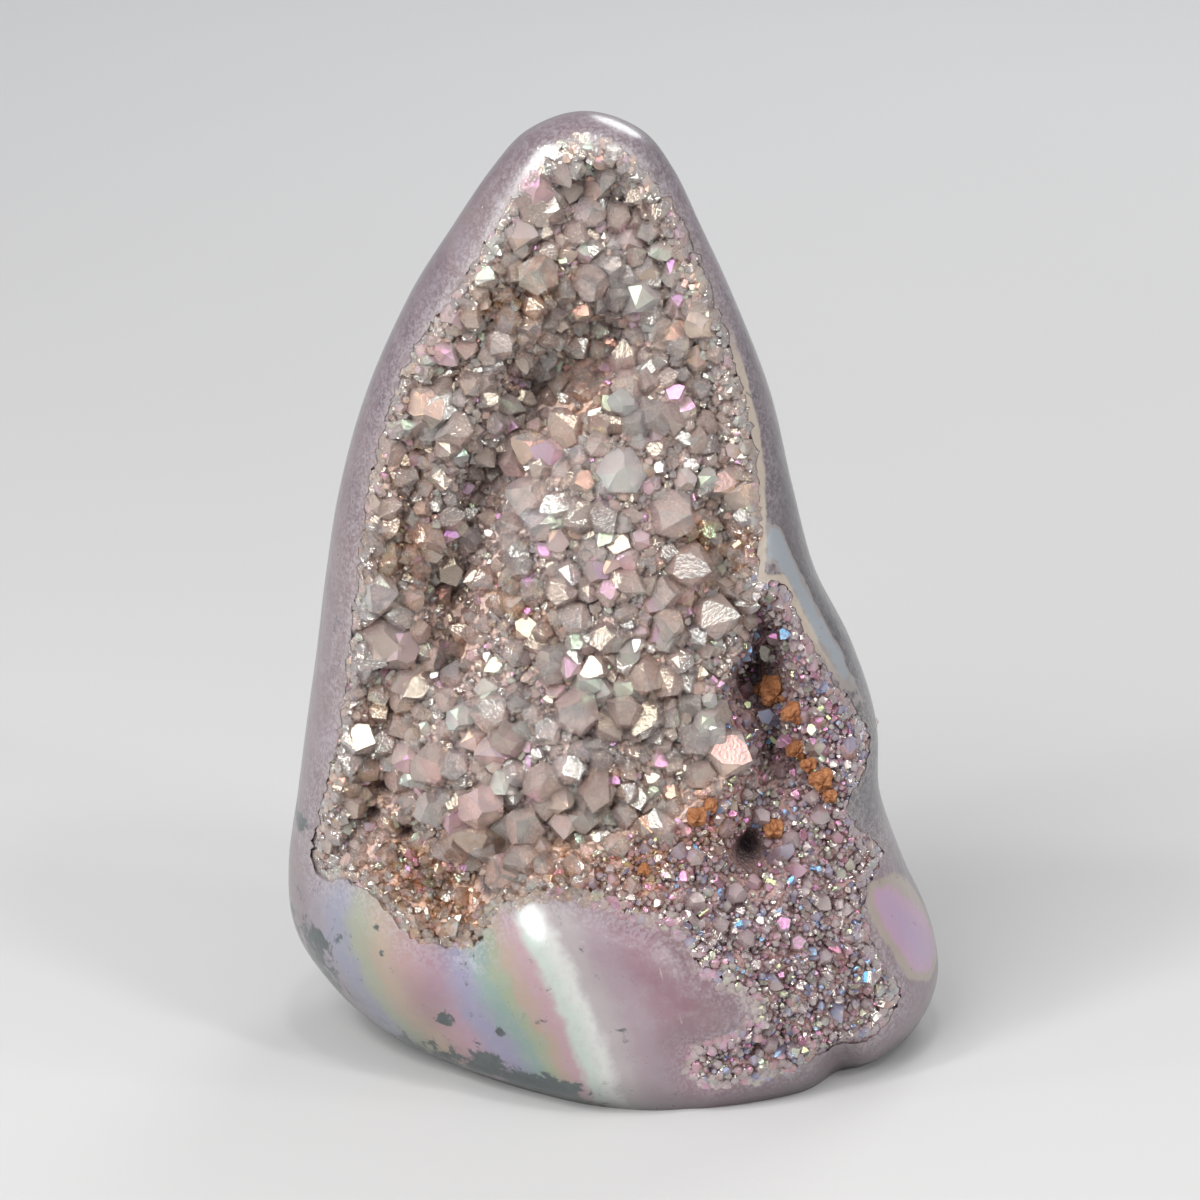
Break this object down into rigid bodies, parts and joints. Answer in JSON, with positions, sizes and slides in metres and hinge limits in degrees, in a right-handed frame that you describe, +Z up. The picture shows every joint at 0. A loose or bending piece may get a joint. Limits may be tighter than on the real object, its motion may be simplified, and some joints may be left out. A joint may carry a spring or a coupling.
{
  "type": "aura amethyst cluster",
  "caption": "Tall rounded stone, polished outside, its front open as a hollow lined with quartz points and its lower right as a rougher druse recess; stands on a sawn flat base.",
  "frame": {"origin": "middle of the bounding box, in the plane of the sawn base", "axes": "+Z up towards the tip, -Y to the front where the hollow opens, +X to the right seen from the front"},
  "size_m": [0.1037, 0.0755, 0.149],
  "materials": {
    "polished_stone": "polished banded stone with a thin rainbow-coloured metal film",
    "quartz": "milky, bright quartz faces with a thin rainbow-coloured metal film",
    "druse": "fine sparkling druse, rust-stained in its crevices"
  },
  "bodies": {
    "root": {"polished_stone": "polished_stone", "crystal_crust": "quartz", "fine_druse": "druse"}
  },
  "joints": []
}
